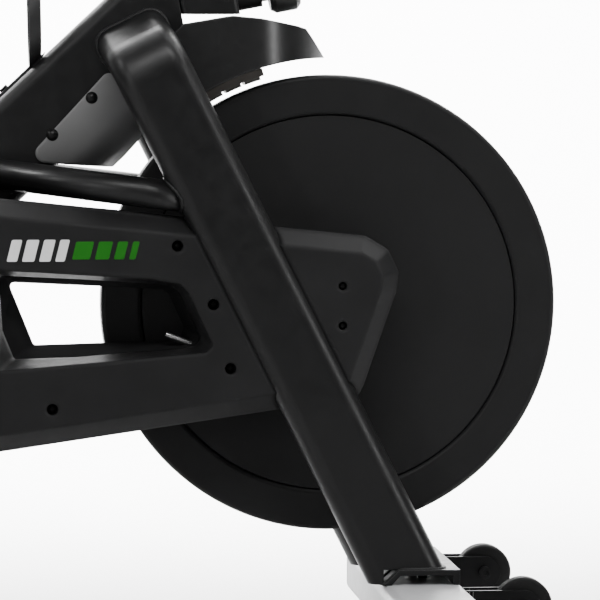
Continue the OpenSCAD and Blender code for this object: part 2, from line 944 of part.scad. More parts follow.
module slider_bar(x1, x2, z) {
    level_tube(x1, x2, z + tee_t + slide_gap, tee_w - 2 * tee_t - 2 * slide_gap,
        tee_h - 2 * tee_t - 2 * slide_gap, 2.5);
}

module post_tube(low, high) {
    translate([0, 0, low]) box_tube(post, post, 4, 2.5, high - low);
}

module seat_post() {
    color([0.13, 0.13, 0.135]) in_bike() difference() {
        union() {
            difference() {
                seat_frame() post_tube(95, seat_post_top + 30);
                translate([-far / 2, -far / 2, seat_head_z]) cube(far);
            }
            level_tube(seat_head_x - 32, seat_head_x + 72, seat_head_z, tee_w, tee_h, tee_t);
        }
        translate([seat_head_x + 55, 0, seat_head_z - 1]) cylinder(h = 6, r = 4 + fit);
    }
}

module seat_slider() {
    color([0.62, 0.62, 0.63]) in_bike() {
        slider_bar(saddle_x - 25, seat_head_x + 120, seat_head_z);
        translate([saddle_x, 0, seat_head_z + tee_h - tee_t - slide_gap]) cylinder(h = 50, r = 11.1);
    }
}

// rail under the saddle: a level run with a rising end at the front and rear
module saddle_rail(side) {
    z = saddle_z - 13;
    bar([saddle_x - 51, side * 24, z], [saddle_x + 61, side * 24, z], rail_r);
    bar([saddle_x - 49.2, side * 23.8, z - 0.3], [saddle_x - 88, side * 34, saddle_z], rail_r);
    bar([saddle_x + 59.2, side * 24.3, z - 0.3], [saddle_x + 96, side * 10, saddle_z], rail_r);
}

module saddle_clamp() {
    color([0.45, 0.45, 0.46]) in_bike() {
        difference() {
            translate([saddle_x, 0, saddle_z - 27]) union() {
                cylinder(h = 24, r = 17);
                translate([-17, -30, 6]) cube([34, 60, 16]);
            }
            translate([saddle_x, 0, 0]) cylinder(h = far, r = 11.1);
        }
        for (side = [-1, 1]) saddle_rail(side);
    }
}

module saddle_plan(t) {
    hull() {
        for (side = [-1, 1]) translate([saddle_x - 82, side * 56]) circle(46 - t);
        translate([saddle_x + 104, 0]) circle(27 - t);
    }
    translate([saddle_x - 96, 0]) square([60, 150], center = true);
}

module saddle_shell() {
    color([0.06, 0.06, 0.06]) in_bike()
        translate([0, 0, saddle_z]) linear_extrude(8) saddle_plan(8);
}

module saddle_pad() {
    color([0.07, 0.07, 0.07]) in_bike() hull() {
        translate([0, 0, saddle_z + 8]) linear_extrude(1) saddle_plan(6);
        translate([0, 0, saddle_z + 26]) linear_extrude(6) saddle_plan(0);
        translate([0, 0, saddle_z + 44]) linear_extrude(1) saddle_plan(22);
    }
}

// ---------- handlebar ----------
head_post_top = 360;
bar_head_x = head_x - head_post_top * sin(head_lean);
bar_head_z = head_z + head_post_top * cos(head_lean);
bar_x = bar_head_x + 122;
bar_z = bar_head_z + tee_h / 2;
console_z = bar_z + 49.5;
bar_r = 14;
grip_y = 226;
bar_turn = 46;             // radius of the bend at each end of the crossbar

module handlebar_post() {
    color([0.13, 0.13, 0.135]) in_bike() difference() {
        union() {
            difference() {
                head_frame() post_tube(-5, head_post_top + 30);
                translate([-far / 2, -far / 2, bar_head_z]) cube(far);
            }
            level_tube(bar_head_x - 55, bar_head_x + 55, bar_head_z, tee_w, tee_h, tee_t);
        }
        translate([bar_head_x - 43, 0, bar_head_z - 1]) cylinder(h = 6, r = 4 + fit);
        below(670);
    }
}

module handlebar_slider() {
    color([0.62, 0.62, 0.63]) in_bike() difference() {
        slider_bar(bar_head_x - 130, bar_x, bar_head_z);
        cross_cyl(bar_x, 0, bar_z, bar_r, 200);
    }
}

function horn_start(side) = [bar_x, side * 70, bar_z];
function horn_mid(side) = [bar_x + 95, side * 66, bar_z + 12];
function horn_end(side) = [bar_x + 150, side * 62, bar_z + 62];
// the short overlap that closes the corner between two straight runs
function horn_lap(a, b) = (b - a) / norm(b - a) * 3.6;
horn_r = 12;

module handlebar() {
    color([0.10, 0.10, 0.10]) in_bike() {
        cross_cyl(bar_x, 0, bar_z, bar_r, 2 * (grip_y - bar_turn));
        for (side = [-1, 1]) {
            translate([bar_x - bar_turn, side * (grip_y - bar_turn), bar_z])
                rotate([0, 0, side > 0 ? 0 : -90]) rotate_extrude(angle = 90)
                    translate([bar_turn, 0]) circle(bar_r);
            bar([bar_x - bar_turn, side * grip_y, bar_z], [bar_x - 200, side * grip_y, bar_z], bar_r);
            bar(horn_start(side), horn_mid(side) + horn_lap(horn_start(side), horn_mid(side)), horn_r);
            bar(horn_mid(side) - horn_lap(horn_mid(side), horn_end(side)), horn_end(side), horn_r);
        }
    }
}

module grips() {
    color([0.05, 0.05, 0.05]) in_bike() for (side = [-1, 1]) {
        difference() {
            bar([bar_x - 66, side * grip_y, bar_z], [bar_x - 206, side * grip_y, bar_z], bar_r + 4);
            bar([bar_x - 60, side * grip_y, bar_z], [bar_x - 200, side * grip_y, bar_z], bar_r);
        }
        difference() {
            bar(horn_mid(side) + 2 * horn_lap(horn_mid(side), horn_end(side)),
                horn_end(side) + horn_lap(horn_mid(side), horn_end(side)), horn_r + 4);
            bar(horn_mid(side), horn_end(side), horn_r);
        }
    }
}

module console() {
    color([0.08, 0.08, 0.08]) in_bike() difference() {
        union() {
            translate([bar_x - 26, 0, console_z]) rotate([0, -35, 0]) linear_extrude(22, center = true)
                rounded_rect(60, 120, 10);
            translate([bar_x - 44, -14, bar_z + tee_h / 2 - tee_t - slide_gap]) cube([22, 28, 20]);
        }
        translate([bar_x - 26, 0, console_z]) rotate([0, -35, 0]) translate([3, 0, 9])
            linear_extrude(3) rounded_rect(38, 92, 4);
    }
}

// ---------- pins and knobs ----------
pin_reach = 66;

module pin_boss() {
    translate([sleeve / 2 - 1, 0, 0]) rotate([0, 90, 0]) cylinder(h = pin_reach - sleeve / 2 - 7, r = 12);
}

module pin_shaft(grow) {
    translate([post / 2 + gap, 0, 0]) rotate([0, 90, 0])
        cylinder(h = pin_reach - post / 2, r = pin_r + grow);
}

module pull_pin() {
    pin_shaft(0);
    translate([pin_reach, 0, 0]) rotate([0, 90, 0]) {
        cylinder(h = 6, r1 = 18, r2 = 22);
        translate([0, 0, 6]) cylinder(h = 22, r = 22);
        translate([0, 0, 28]) cylinder(h = 5, r1 = 22, r2 = 17);
    }
}

module head_pin() { color([0.06, 0.06, 0.06]) in_bike() head_frame() pull_pin(); }

module seat_pin() {
    color([0.06, 0.06, 0.06]) in_bike() seat_frame() translate([0, 0, seat_pin_z]) pull_pin();
}

// star knob under a level tube, its stem stopping short of the slider
module slide_knob(x, z) {
    translate([x, 0, z]) {
        translate([0, 0, -14]) cylinder(h = 14 + tee_t, r = 4);
        translate([0, 0, -34]) linear_extrude(20) difference() {
            circle(17);
            for (i = [0:4]) rotate(i * 72) translate([21, 0]) circle(7);
        }
    }
}

module seat_slide_knob() {
    color([0.06, 0.06, 0.06]) in_bike() slide_knob(seat_head_x + 55, seat_head_z);
}

module handlebar_slide_knob() {
    color([0.06, 0.06, 0.06]) in_bike() slide_knob(bar_head_x - 43, bar_head_z);
}

module transport_wheel(side) {
    color([0.06, 0.06, 0.06]) in_bike() translate([roller_x, side * roller_y, roller_z])
        rotate([90, 0, 0]) difference() {
            rotate_extrude() {
                translate([(roller_r + 5) / 2, 0]) rounded_rect(roller_r - 5, 24, 4);
            }
            translate([0, 0, -20]) cylinder(h = 40, r = 6 + fit);
        }
}

main_beam();
front_leg(false);  // front_leg_right
front_leg(true);  // front_leg_left
brace_tube(false);  // brace_tube_right
brace_tube(true);  // brace_tube_left
head_sleeve();
seat_sleeve();
sleeve_bushings();
bb_bearings();
flywheel_axle();
base_plates();
front_stabilizer();
rear_stabilizer();
wheel_brackets();
stabilizer_caps();
front_feet();
frame_bolts();
belt_cover_outer();
belt_cover_front_cap();
belt_cover_inner();
cover_screws();
belt_tension_bolt();
drive_belt();
belly_fairing();
brake_shroud();
bottle_cage();
flywheel_disc();
flywheel_covers();
hub_pulley();
hub_bearings();
crank_spindle();
crank_pulley();
crank_arm(false, -1);  // crank_arm_right
crank_arm(true, 1);  // crank_arm_left
pedal_axles();
pedal(false);  // pedal_right
toe_cage(false);  // toe_cage_right
pedal(true);  // pedal_left
toe_cage(true);  // toe_cage_left
brake_bracket();
brake_magnets();
tension_knob();
seat_post();
seat_slider();
saddle_clamp();
saddle_shell();
saddle_pad();
handlebar_post();
handlebar_slider();
handlebar();
grips();
console();
head_pin();
seat_pin();
seat_slide_knob();
handlebar_slide_knob();
transport_wheel(-1);  // transport_wheel_right
transport_wheel(1);  // transport_wheel_left
rear_foot(-1);  // rear_foot_right
rear_foot(1);  // rear_foot_left
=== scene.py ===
import json
import math

import bmesh
import bpy
from mathutils import Matrix, Vector
from mathutils.bvhtree import BVHTree


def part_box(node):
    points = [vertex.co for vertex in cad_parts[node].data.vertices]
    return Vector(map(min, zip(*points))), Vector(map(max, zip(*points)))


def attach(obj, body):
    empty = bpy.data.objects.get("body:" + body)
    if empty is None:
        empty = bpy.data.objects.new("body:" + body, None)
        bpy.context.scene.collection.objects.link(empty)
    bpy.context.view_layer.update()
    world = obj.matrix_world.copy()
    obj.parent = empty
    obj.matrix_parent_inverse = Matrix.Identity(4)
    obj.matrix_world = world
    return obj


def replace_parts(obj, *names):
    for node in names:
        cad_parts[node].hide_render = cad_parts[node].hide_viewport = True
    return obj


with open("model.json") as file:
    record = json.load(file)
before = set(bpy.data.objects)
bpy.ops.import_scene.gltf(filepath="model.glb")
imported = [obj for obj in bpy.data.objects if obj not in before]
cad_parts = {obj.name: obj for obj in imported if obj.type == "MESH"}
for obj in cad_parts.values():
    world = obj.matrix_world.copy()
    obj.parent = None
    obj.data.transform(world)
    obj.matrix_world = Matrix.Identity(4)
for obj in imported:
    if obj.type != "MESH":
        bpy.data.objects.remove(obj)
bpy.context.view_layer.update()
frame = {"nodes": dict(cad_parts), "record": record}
NODES = frame["nodes"]

BX = 0.3235        # the flywheel's axis, ahead of the origin


def P(x, y, z):
    """A point given in millimetres from the flywheel's axis plane."""
    return Vector((x / 1000 + BX, y / 1000, z / 1000))


# ---------------------------------------------------------------- materials
class Mat:
    """A short way to write a node material. Every input is a node, and nothing reads an image."""

    def __init__(self, name):
        self.m = bpy.data.materials.new(name)
        self.m.use_nodes = True
        self.t = self.m.node_tree
        self.b = self.t.nodes["Principled BSDF"]
        self.co = self.t.nodes.new("ShaderNodeTexCoord").outputs["Object"]

    def set(self, **values):
        for k, v in values.items():
            key = k.replace("_", " ").title().replace("Ior", "IOR")
            s = self.b.inputs[key]
            s.default_value = v if not isinstance(v, tuple) else (*v, 1.0)[: len(s.default_value)]
        return self

    def link(self, a, b):
        self.t.links.new(a, b)

    def stretch(self, x, y, z):
        n = self.t.nodes.new("ShaderNodeMapping")
        n.inputs["Scale"].default_value = (x, y, z)
        self.link(self.co, n.inputs["Vector"])
        return n.outputs["Vector"]

    def noise(self, scale, detail=3, rough=0.55, vec=None):
        n = self.t.nodes.new("ShaderNodeTexNoise")
        n.inputs["Scale"].default_value = scale
        n.inputs["Detail"].default_value = detail
        n.inputs["Roughness"].default_value = rough
        self.link(vec or self.co, n.inputs["Vector"])
        return n.outputs["Fac"]

    def cells(self, scale, feature="F1", vec=None):
        n = self.t.nodes.new("ShaderNodeTexVoronoi")
        n.feature = feature
        n.inputs["Scale"].default_value = scale
        self.link(vec or self.co, n.inputs["Vector"])
        return n.outputs["Distance"]

    def ramp(self, fac, a, b, lo=0.0, hi=1.0):
        n = self.t.nodes.new("ShaderNodeMapRange")
        n.inputs["From Min"].default_value = lo
        n.inputs["From Max"].default_value = hi
        n.inputs["To Min"].default_value = a
        n.inputs["To Max"].default_value = b
        self.link(fac, n.inputs["Value"])
        return n.outputs["Result"]

    def mix(self, fac, a, b):
        n = self.t.nodes.new("ShaderNodeMix")
        n.data_type = "RGBA"
        for i, v in ((6, a), (7, b)):
            if isinstance(v, tuple):
                n.inputs[i].default_value = (*v, 1.0)
            else:
                self.link(v, n.inputs[i])
        if isinstance(fac, (int, float)):
            n.inputs[0].default_value = fac
        else:
            self.link(fac, n.inputs[0])
        return n.outputs[2]

    def math(self, op, a, b=0.0):
        n = self.t.nodes.new("ShaderNodeMath")
        n.operation = op
        for i, v in enumerate((a, b)):
            if isinstance(v, (int, float)):
                n.inputs[i].default_value = v
            else:
                self.link(v, n.inputs[i])
        return n.outputs[0]

    def bump(self, height, distance, strength=1.0, under=None):
        n = self.t.nodes.new("ShaderNodeBump")
        n.inputs["Distance"].default_value = distance
        n.inputs["Strength"].default_value = strength
        self.link(height, n.inputs["Height"])
        if under is not None:
            self.link(under, n.inputs["Normal"])
        return n.outputs["Normal"]

    def color(self, out):
        self.link(out, self.b.inputs["Base Color"])
        return self

    def rough(self, out):
        self.link(out, self.b.inputs["Roughness"])
        return self

    def normal(self, out):
        self.link(out, self.b.inputs["Normal"])
        return self


def bevelled(m, radius, under=None):
    """Softens a hard CAD edge in the shading, by a rounded normal."""
    n = m.t.nodes.new("ShaderNodeBevel")
    n.samples = 4
    n.inputs["Radius"].default_value = radius
    if under is not None:
        m.link(under, n.inputs["Normal"])
    return n.outputs["Normal"]


def coated(name, base, rough=0.42, grain=1400, depth=0.00006, tint=0.25, edge=0.0015, spec=0.5, coat=0.0,
           light=None):
    """Powder coat and paint: fine orange peel, slight tone change, edges softened in the shading."""
    m = Mat(name)
    light = light or tuple(min(1, c * 1.8 + 0.004) for c in base)
    cloud = m.noise(9, 4)
    m.color(m.mix(m.ramp(cloud, 0.0, tint, 0.35, 0.7), base, light))
    m.rough(m.ramp(m.noise(60, 3), rough - 0.05, rough + 0.06, 0.3, 0.7))
    m.normal(m.bump(m.noise(grain, 2), depth, 0.6, bevelled(m, edge)))
    m.set(specular_ior_level=spec, coat_weight=coat, coat_roughness=0.25)
    return m.m


def moulded(name, base, rough=0.5, grain=2600, depth=0.00008, edge=0.0012, spec=0.5, tone=1.6, crown=None):
    """Spark-eroded moulded plastic: small leathery cells and soft clouds in the gloss.
    crown is (direction, start, drop): the surface curves away beyond start, as a crowned panel does."""
    m = Mat(name)
    light = tuple(min(1, c * tone + 0.002) for c in base)
    m.color(m.mix(m.ramp(m.noise(14, 4), 0.0, 0.5, 0.35, 0.7), base, light))
    m.rough(m.ramp(m.noise(180, 3), rough * 0.92, rough * 1.08, 0.3, 0.7))
    grainy = m.math("ADD", m.cells(grain), m.noise(grain * 0.6, 2))
    under = bevelled(m, edge)
    if crown:
        along, start, drop = crown
        n = m.t.nodes.new("ShaderNodeVectorMath")
        n.operation = "DOT_PRODUCT"
        m.link(m.co, n.inputs[0])
        n.inputs[1].default_value = along
        past = m.math("MAXIMUM", m.math("SUBTRACT", n.outputs["Value"], start), 0.0)
        under = m.bump(m.math("MULTIPLY", m.math("MULTIPLY", past, past), -drop), 1.0, 1.0, under)
    m.normal(m.bump(grainy, depth, 0.5, under))
    m.set(specular_ior_level=spec)
    return m.m


def rubbery(name, base, rough=0.75, grain=900, depth=0.00015):
    m = Mat(name)
    dust = tuple(c * 2.2 + 0.006 for c in base)
    m.color(m.mix(m.ramp(m.noise(40, 5, 0.7), 0.0, 0.5, 0.4, 0.75), base, dust))
    m.rough(m.ramp(m.noise(250, 3), rough - 0.08, rough + 0.08, 0.3, 0.7))
    m.normal(m.bump(m.noise(grain, 4), depth, 0.5, bevelled(m, 0.0012)))
    m.set(specular_ior_level=0.15)
    return m.m


def leather(name, base):
    m = Mat(name)
    pores = m.cells(620, "DISTANCE_TO_EDGE")
    m.color(m.mix(m.ramp(m.noise(22, 5, 0.65), 0.0, 0.6, 0.35, 0.7), base, tuple(c * 2.0 + 0.004 for c in base)))
    m.rough(m.ramp(m.noise(35, 4), 0.40, 0.56, 0.3, 0.7))
    folds = m.bump(m.noise(30, 3), 0.0006, 0.35)
    m.normal(m.bump(m.ramp(pores, 0.0, 1.0, 0.0, 0.25), 0.00025, 0.6, folds))
    m.set(specular_ior_level=0.45)
    return m.m


def steel(name, base, rough=0.3, streak=(40, 900, 40), depth=0.00004, tone=0.75, edge=0.0006):
    """Brushed or plated metal: fine streaks in one direction."""
    m = Mat(name)
    lines = m.noise(6, 4, 0.6, m.stretch(*streak))
    dark = tuple(c * tone for c in base)
    m.color(m.mix(m.ramp(lines, 0, 0.8, 0.3, 0.7), base, dark))
    m.rough(m.ramp(m.noise(30, 4), rough - 0.06, rough + 0.1, 0.3, 0.7))
    m.normal(m.bump(lines, depth, 0.4, bevelled(m, edge)))
    m.set(metallic=1.0)
    return m.m


MATS = {
    "frame_paint": coated("frame_paint", (0.0058, 0.0058, 0.0060), 0.38, spec=0.30, edge=0.003),
    "bracket_paint": coated("bracket_paint", (0.004, 0.004, 0.0042), 0.38, spec=0.12),
    "silver_paint": coated("silver_paint", (0.42, 0.42, 0.43), 0.38, light=(0.55, 0.55, 0.56)),
    "black_plastic": moulded("black_plastic", (0.008, 0.008, 0.0083), 0.45),
    "bearing_steel": steel("bearing_steel", (0.55, 0.55, 0.56), 0.22),
    "bare_steel": steel("bare_steel", (0.58, 0.58, 0.58), 0.26),
    "rubber": rubbery("rubber", (0.006, 0.006, 0.006)),
    "black_fastener": coated("black_fastener", (0.004, 0.004, 0.004), 0.34, 3000, 0.00003, edge=0.0005, spec=0.2),
    "cover_plastic": moulded("cover_plastic", (0.0105, 0.0105, 0.0108), 0.46, 2200, 0.00006, 0.007, 0.14),
    "inner_plastic": moulded("inner_plastic", (0.012, 0.012, 0.0123), 0.5, spec=0.0),
    "belt_rubber": rubbery("belt_rubber", (0.010, 0.010, 0.010)),
    "grey_fairing": moulded("grey_fairing", (0.24, 0.24, 0.24), 0.36, 1500, 0.00006, 0.004, tone=1.15,
                            crown=((0.684, 0, -0.729), -0.45, 4.0)),
    "shroud_plastic": moulded("shroud_plastic", (0.007, 0.007, 0.0072), 0.33, 3000, 0.000002, 0.003, 0.6, tone=1.1,
                              crown=((1, 0, 0.1), 0.284, 3.5)),
    "flywheel_coat": coated("flywheel_coat", (0.0095, 0.0095, 0.0097), 0.50, 1800, 0.00005, 0.15, 0.0012, 0.18),
    "disc_plastic": coated("disc_plastic", (0.0098, 0.0098, 0.0100), 0.55, 1800, 0.00005, 0.15, 0.001, 0.18),
    "hub_alloy": steel("hub_alloy", (0.45, 0.45, 0.46), 0.3),
    "pulley_plastic": moulded("pulley_plastic", (0.03, 0.03, 0.03), 0.5),
    "crank_paint": coated("crank_paint", (0.010, 0.010, 0.0105), 0.28, coat=0.3),
    "pedal_plastic": moulded("pedal_plastic", (0.012, 0.012, 0.012), 0.5),
    "toe_strap": moulded("toe_strap", (0.012, 0.012, 0.012), 0.45),
    "brake_steel": coated("brake_steel", (0.070, 0.062, 0.055), 0.42, edge=0.001, light=(0.10, 0.092, 0.084)),
    "magnet": steel("magnet", (0.20, 0.19, 0.18), 0.35),
    "satin_chrome": steel("satin_chrome", (0.62, 0.62, 0.63), 0.2, (900, 40, 40)),
    "saddle_cover": leather("saddle_cover", (0.012, 0.012, 0.012)),
    "saddle_piping": leather("saddle_piping", (0.009, 0.009, 0.009)),
    "thread": rubbery("thread", (0.05, 0.05, 0.05), 0.7, 2500, 0.0001),
    "bar_paint": coated("bar_paint", (0.012, 0.012, 0.0125), 0.4),
    "grip_foam": rubbery("grip_foam", (0.011, 0.011, 0.011), 0.8, 700, 0.0004),
    "screen_glass": moulded("screen_glass", (0.02, 0.025, 0.022), 0.15),
    "display_grey": moulded("display_grey", (0.13, 0.15, 0.13), 0.3, 3000, 0.00001),
    "button_rubber": rubbery("button_rubber", (0.06, 0.06, 0.06), 0.6),
    "stripe_green": moulded("stripe_green", (0.012, 0.13, 0.008), 0.45, 3000, 0.00002, spec=0.15, tone=1.1),
    "stripe_white": moulded("stripe_white", (0.72, 0.72, 0.72), 0.35, 3000, 0.00002),
}

# the cover's walls, which don't face a side, are matt where its faces have a slight sheen
shell = MATS["cover_plastic"].node_tree
facing = shell.nodes.new("ShaderNodeSeparateXYZ")
shell.links.new(shell.nodes.new("ShaderNodeNewGeometry").outputs["True Normal"], facing.inputs[0])
sheen = shell.nodes.new("ShaderNodeMath")
sheen.operation = "MULTIPLY"
sheen.inputs[1].default_value = 0.18
level = shell.nodes.new("ShaderNodeMath")
level.operation = "ABSOLUTE"
shell.links.new(facing.outputs["Y"], level.inputs[0])
shell.links.new(level.outputs[0], sheen.inputs[0])
shell.links.new(sheen.outputs[0], shell.nodes["Principled BSDF"].inputs["Specular IOR Level"])

for part in frame["record"]["subparts"]:
    mesh = NODES[part["node"]].data
    mesh.materials.clear()
    mesh.materials.append(MATS[part["material_slot"]])


def piece(name, verts, faces, mat, body, smooth=True):
    mesh = bpy.data.meshes.new(name)
    mesh.from_pydata([tuple(v) for v in verts], [], faces)
    mesh.validate()
    mesh.update()
    bm = bmesh.new()
    bm.from_mesh(mesh)
    bmesh.ops.recalc_face_normals(bm, faces=bm.faces)
    bm.to_mesh(mesh)
    bm.free()
    for f in mesh.polygons:
        f.use_smooth = smooth
    mesh.materials.append(MATS[mat])
    o = bpy.data.objects.new(name, mesh)
    bpy.context.scene.collection.objects.link(o)
    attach(o, body)
    return o


def sweep(points, radius, sides=8, closed=False, ripple=0.0, pitch=0.004):
    """Vertices and faces of a tube along points; ripple gives a weld bead its row of small waves."""
    n = len(points)
    verts, faces = [], []
    along = 0.0
    up = None
    for i, p in enumerate(points):
        a = points[(i - 1) % n] if (closed or i) else p
        b = points[(i + 1) % n] if (closed or i < n - 1) else p
        t = (b - a).normalized()
        if up is None:
            up = t.orthogonal().normalized()
        up = (up - t * up.dot(t)).normalized()
        side = t.cross(up)
        if i:
            along += (p - points[i - 1]).length
        r = radius * (1 + ripple * math.sin(2 * math.pi * along / pitch))
        for k in range(sides):
            c = 2 * math.pi * k / sides
            verts.append(p + (up * math.cos(c) + side * math.sin(c)) * r)
    for i in range(n if closed else n - 1):
        j = (i + 1) % n
        shift = 0
        if closed and j == 0:
            best = min(range(sides), key=lambda q: (verts[i * sides] - verts[q]).length)
            shift = best
        for k in range(sides):
            faces.append((i * sides + k, i * sides + (k + 1) % sides,
                          j * sides + (k + 1 + shift) % sides, j * sides + (k + shift) % sides))
    if not closed:
        faces.append(tuple(range(sides))[::-1])
        faces.append(tuple(range((n - 1) * sides, n * sides)))
    return verts, faces


def resampled(points, step, closed=True):
    pts = points + [points[0]] if closed else list(points)
    out = []
    carry = 0.0
    for a, b in zip(pts[:-1], pts[1:]):
        d = (b - a).length
        if d < 1e-9:
            continue
        x = carry
        while x < d:
            out.append(a.lerp(b, x / d))
            x += step
        carry = x - d
    return out


TREES = {}


def tree(node):
    if node not in TREES:
        m = NODES[node].data
        TREES[node] = BVHTree.FromPolygons([v.co for v in m.vertices], [tuple(q.vertices) for q in m.polygons])
    return TREES[node]


def seam(name, outline, direction, node, body, radius=0.0021, reach=0.4):
    """A weld bead where a tube, given by points on its outline, meets another node's surface."""
    hits = []
    for q in outline:
        hit = tree(node).ray_cast(q, direction, reach)
        if hit[0] is not None:
            hits.append(hit[0])
    if len(hits) < 8:
        print("seam found too little:", name, len(hits))
        return None
    path = resampled(hits, 0.0009)
    v, f = sweep(path, radius, 8, True, 0.09, 0.0038)
    return piece(name, v, f, "frame_paint", body)


def rounded_outline(w, h, r, n=8):
    pts = []
    x, y = w / 2 - r, h / 2 - r
    for cx, cy, a0 in ((x, y, 0), (-x, y, 90), (-x, -y, 180), (x, -y, 270)):
        for i in range(n + 1):
            a = math.radians(a0 + 90 * i / n)
            pts.append((cx + r * math.cos(a), cy + r * math.sin(a)))
    full = []
    for a, b in zip(pts, pts[1:] + pts[:1]):
        k = max(1, int(math.dist(a, b) / 4))
        full += [(a[0] + (b[0] - a[0]) * i / k, a[1] + (b[1] - a[1]) * i / k) for i in range(k)]
    return full


def turned(axis, degrees):
    return Matrix.Rotation(math.radians(degrees), 4, axis)


def moved(x, y, z):
    return Matrix.Translation((x, y, z))


def to_world(m, q):
    v = m @ Vector(q)
    return P(v.x, v.y, v.z)


LEG = moved(0, 0, 360) @ turned("Y", -26.6) @ moved(-61, 0, 0)
HEAD = moved(-129, 0, 679) @ turned("Y", -11)
SEAT = moved(-505, 0, 436.8) @ turned("Y", -17)

# a brace tube's ends and its bend: at the leg, at the bend and at the beam
BRACE = ((-150, 95, 475), (-226, 88, 484), (-400, 24, 505.4))
BRACE_R = 0.016          # metres
BRACE_SEAM_R = 16.2      # millimetres
BRACE_SIDES = 40


def brace_corners(side):
    return [Vector((x, side * y, z)) for x, y, z in BRACE]


for side, tag in ((-1, "right"), (1, "left")):
    flip = Matrix.Scale(-1, 4, (0, 1, 0)) if side > 0 else Matrix.Identity(4)
    leg_end, bend, beam_end = brace_corners(side)
    for end, to, node in ((leg_end, "leg", f"front_leg_{tag}"), (beam_end, "beam", "main_beam")):
        d = (end - bend).normalized()
        u = d.cross(Vector((0, 0, 1))).normalized()
        w = d.cross(u)
        turns = [2 * math.pi * i / 48 for i in range(48)]
        ring = [bend + (u * math.cos(t) + w * math.sin(t)) * BRACE_SEAM_R for t in turns]
        seam(f"weld_brace_{to}_{tag}", [P(*q) for q in ring], d, node, "root")
    # leg's bent top to beam
    top = LEG @ moved(0, -95, 0) @ moved(0, 32, 302) @ turned("X", -70) @ moved(0, -32, 0)
    m = flip @ top
    d = ((m @ Vector((0, 0, 10))) - (m @ Vector((0, 0, 0)))).normalized()
    ring = [to_world(m, (x, y, 0)) for x, y in rounded_outline(79.4, 39.4, 17.5)]
    seam(f"weld_leg_top_{tag}", ring, d, "main_beam", "root", 0.0024)
    # leg's foot to the base plate
    m = flip @ LEG @ moved(0, -95, 0)
    d = ((m @ Vector((0, 0, -10))) - (m @ Vector((0, 0, 0)))).normalized()
    ring = [to_world(m, (x, y, -150)) for x, y in rounded_outline(80.4, 40.4, 18)]
    seam(f"weld_leg_foot_{tag}", ring, d, "base_plates", "root", 0.0023)


def smooth_path(corners, bend=26.0, n=8):
    """The straight lines through corners, with each inner corner rounded off."""
    out = [corners[0]]
    for a, b, c in zip(corners, corners[1:], corners[2:]):
        p, q = b + (a - b).normalized() * bend, b + (c - b).normalized() * bend
        out += [p.lerp(b, i / n).lerp(b.lerp(q, i / n), i / n) for i in range(n + 1)]
    return out + [corners[-1]]


for side, tag in ((-1, "right"), (1, "left")):
    line = [P(*q) for q in smooth_path(brace_corners(side))]
    v, f = sweep(line, BRACE_R, BRACE_SIDES)
    # each end follows the surface that it meets
    end = len(v) - BRACE_SIDES
    for first, last, ring, inner, node in (
            (line[1], line[0], 0, BRACE_SIDES, f"front_leg_{tag}"),
            (line[-2], line[-1], end, end - BRACE_SIDES, "main_beam")):
        d = (last - first).normalized()
        for k in range(BRACE_SIDES):
            hit = tree(node).ray_cast(v[inner + k], d, 0.4)
            if hit[0] is not None:
                v[ring + k] = hit[0] + d * 0.0006
    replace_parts(piece(f"brace_{tag}", v, f, "frame_paint", "root"), f"brace_tube_{tag}")

for name, m, start, towards, node, size in (
        ("weld_head_sleeve", HEAD, 60, -1, "main_beam", 62.4),
        ("weld_seat_sleeve", SEAT, 200, -1, "main_beam", 62.4)):
    d = ((m @ Vector((0, 0, towards))) - (m @ Vector((0, 0, 0)))).normalized()
    seam(name, [to_world(m, (x, y, start)) for x, y in rounded_outline(size, size, 6)], d, node, "root")

